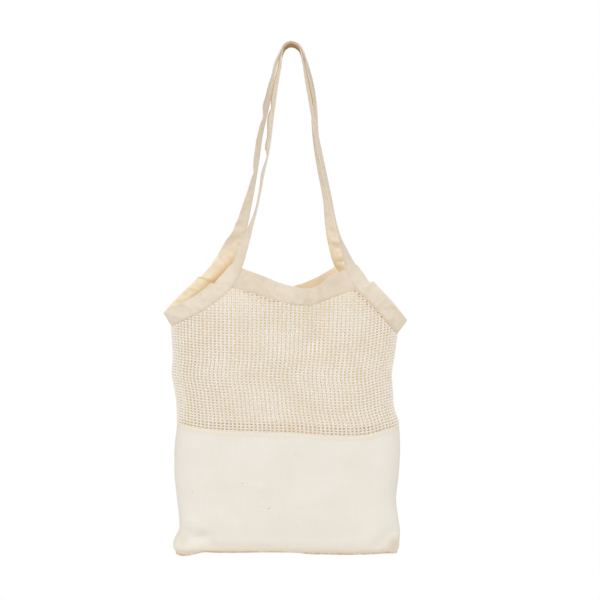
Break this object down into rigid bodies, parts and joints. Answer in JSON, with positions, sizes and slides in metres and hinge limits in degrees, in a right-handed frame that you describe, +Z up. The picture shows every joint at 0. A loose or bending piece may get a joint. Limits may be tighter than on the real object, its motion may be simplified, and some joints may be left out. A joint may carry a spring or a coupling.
{
  "type": "cotton tote bag",
  "caption": "Hanging cotton tote bag with a plain canvas lower half, an open net upper half, a bound mouth and long shoulder handles.",
  "frame": {"origin": "hang point: the underside of the handles' loop, midway between the two handles", "axes": "+Z up, +X to the right as seen from the front, -Y out of the front"},
  "size_m": [0.3674, 0.1211, 0.7593],
  "materials": {
    "canvas": "plain woven natural cotton, matt",
    "net": "open cotton net, matt",
    "band": "doubled cream cotton, matt"
  },
  "bodies": {
    "root": {"canvas_body": "canvas", "net_front": "net", "net_back": "net", "hem_front": "band", "hem_back": "band", "strap_front": "band", "strap_back": "band"}
  },
  "joints": []
}
